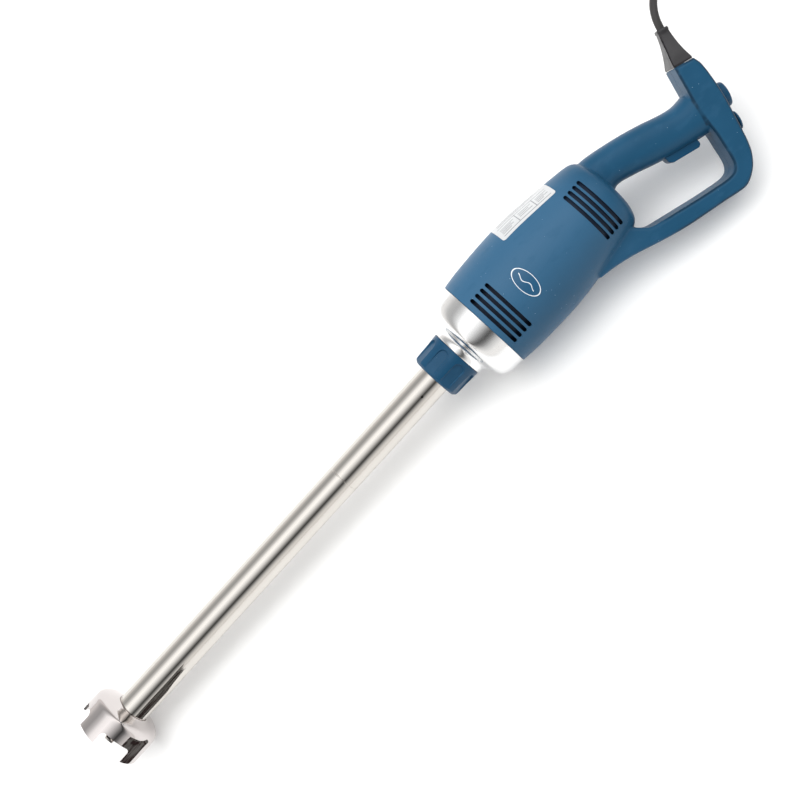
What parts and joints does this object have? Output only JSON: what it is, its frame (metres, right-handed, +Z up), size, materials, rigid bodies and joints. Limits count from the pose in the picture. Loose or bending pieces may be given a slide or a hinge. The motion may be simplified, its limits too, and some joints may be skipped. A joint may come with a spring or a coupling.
{
  "type": "immersion blender",
  "caption": "Heavy-duty immersion blender with a loop handle, trigger, speed dial, long removable stainless shaft, bell blade guard and coiled mains lead.",
  "frame": {"origin": "centre of the tool's footprint on the surface it lies on, lead left out", "axes": "+X along the tool from the bell to the handle, +Z up from the surface, +Y towards the lead side"},
  "size_m": [1.1328, 0.2712, 0.1145],
  "materials": {
    "blue_plastic": "satin spark-textured moulded plastic, mid blue",
    "collar_plastic": "smooth satin moulded plastic, blue",
    "grey_rubber": "moulded mid grey flexible boot",
    "cord_rubber": "dark grey satin lead sheath",
    "label": "printed white polyester label without words",
    "badge": "white printed oval line on clear film",
    "cast_aluminium": "polished cast aluminium with fine turning marks",
    "stainless": "mirror polished stainless steel",
    "screw_steel": "zinc plated steel",
    "iron": "laminated electrical steel",
    "copper": "enamelled copper",
    "brass": "machined brass",
    "black_plastic": "black moulded nylon",
    "board": "green glass-fibre board",
    "nylon": "natural nylon"
  },
  "bodies": {
    "housing": {"body_shell_left": "blue_plastic", "body_shell_right": "blue_plastic", "casing_screw_1": "screw_steel", "casing_screw_2": "screw_steel", "casing_screw_3": "screw_steel", "casing_screw_4": "screw_steel", "casing_screw_5": "screw_steel", "casing_screw_6": "screw_steel", "casing_screw_7": "screw_steel", "casing_screw_8": "screw_steel", "rating_label": "label", "badge_plate": "badge", "nose_flange": "cast_aluminium", "front_bearing": "screw_steel", "rear_bearing": "screw_steel", "rear_bracket": "cast_aluminium", "stator_core": "iron", "field_coil_left": "copper", "field_coil_right": "copper", "brush_holder_upper": "brass", "brush_holder_lower": "brass", "carbon_brush_upper": "black_plastic", "carbon_brush_lower": "black_plastic", "trigger_pin": "screw_steel", "trigger_spring": "screw_steel", "power_switch": "black_plastic", "dial_potentiometer": "black_plastic", "lock_button_guide": "nylon", "control_board": "board", "cord_clamp": "nylon", "strain_relief": "grey_rubber", "power_cord": "cord_rubber", "cord_tail": "cord_rubber", "cord_coil": "cord_rubber", "cord_tie": "black_plastic", "plug_body": "cord_rubber", "plug_blade_live": "brass", "plug_blade_neutral": "brass", "plug_earth_pin": "brass"},
    "motor_rotor": {"motor_shaft": "screw_steel", "rotor_core": "iron", "rotor_winding_front": "copper", "rotor_winding_rear": "copper", "commutator": "copper", "cooling_fan": "black_plastic", "drive_dog": "screw_steel"},
    "locking_ring": {"lock_collar": "collar_plastic"},
    "shaft": {"shaft_tube": "stainless", "blade_guard": "stainless", "lip_seal": "cord_rubber", "lower_bush": "brass", "middle_bush": "brass", "upper_bush": "brass"},
    "drive_line": {"drive_shaft": "stainless", "blade": "stainless", "blade_nut": "stainless", "drive_socket": "screw_steel"},
    "trigger_lever": {"trigger": "collar_plastic"},
    "dial": {"speed_dial": "collar_plastic"},
    "button": {"lock_button": "collar_plastic"}
  },
  "joints": [
    {"name": "motor_spin", "type": "hinge", "parent": "housing", "child": "motor_rotor", "pos_m": [0.18105, 0.01581, 0.05715], "axis": [0.9996, 0, 0.0278], "continuous": true},
    {"name": "shaft_release", "type": "slide", "parent": "housing", "child": "shaft", "axis": [-0.9996, 0, -0.0278], "range_m": [0, 0.06]},
    {"name": "collar_turn", "type": "hinge", "parent": "shaft", "child": "locking_ring", "pos_m": [-0.4587, 0.01581, 0.03936], "axis": [0.9996, 0, 0.0278], "range_deg": [0, 90]},
    {"name": "blade_spin", "type": "hinge", "parent": "shaft", "child": "drive_line", "pos_m": [-0.4587, 0.01581, 0.03936], "axis": [0.9996, 0, 0.0278], "continuous": true},
    {"name": "trigger_pull", "type": "hinge", "parent": "housing", "child": "trigger_lever", "pos_m": [0.37019, 0.00067, 0.05468], "axis": [-0.0248, -0.4548, 0.8903], "range_deg": [0, 7], "stiffness_Nm_per_rad": 2, "springref_deg": -5.73, "deforming": ["trigger_spring"]},
    {"name": "dial_turn", "type": "hinge", "parent": "housing", "child": "dial", "pos_m": [0.44641, -0.00272, 0.05507], "axis": [0.9603, -0.2583, -0.1052], "range_deg": [0, 270]},
    {"name": "button_press", "type": "slide", "parent": "housing", "child": "button", "axis": [-0.9603, 0.2583, 0.1052], "range_m": [0, 0.003], "stiffness_N_per_m": 400, "springref_m": -0.002}
  ],
  "couplings": [
    {"joint": "blade_spin", "follows": "motor_spin", "ratio": 1}
  ]
}
